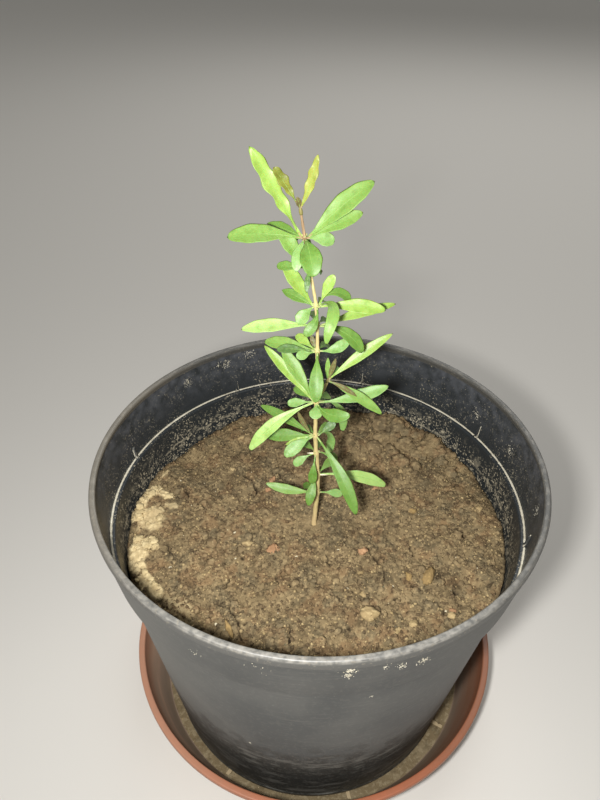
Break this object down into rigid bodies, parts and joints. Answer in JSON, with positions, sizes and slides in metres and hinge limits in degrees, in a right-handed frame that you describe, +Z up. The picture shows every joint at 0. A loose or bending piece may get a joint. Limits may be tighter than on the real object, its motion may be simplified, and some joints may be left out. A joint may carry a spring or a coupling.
{
  "type": "potted goji berry plant",
  "caption": "Young goji berry plant with one slender stem and whorls of narrow leaves, in a round black nursery pot on a deep saucer.",
  "frame": {"origin": "centre of the pot's axis, on the level that the saucer's flat underside stands on", "axes": "+Z up along the stem, +X to the right and +Y away as seen from the plant's front"},
  "size_m": [0.2601, 0.2601, 0.3871],
  "materials": {
    "saucer_plastic": "satin moulded, terracotta-coloured, dusty",
    "pot_plastic": "satin moulded, black, dusty and scuffed",
    "soil": "dry, crumbly, mid-brown loam",
    "bark": "smooth, cream to tan",
    "leaves": "soft satin, yellow-green to mid green",
    "young_leaves": "soft satin, olive yellow"
  },
  "bodies": {
    "root": {"saucer": "saucer_plastic", "pot": "pot_plastic", "soil": "soil", "main_stem": "bark", "side_shoot": "bark", "foliage_1": "leaves", "foliage_2": "leaves", "foliage_3": "leaves", "foliage_4": "leaves", "foliage_5": "leaves", "foliage_6": "leaves", "foliage_7": "leaves", "foliage_8": "leaves", "foliage_9": "leaves", "foliage_10": "leaves", "foliage_tip": "young_leaves", "foliage_side": "leaves"}
  },
  "joints": []
}
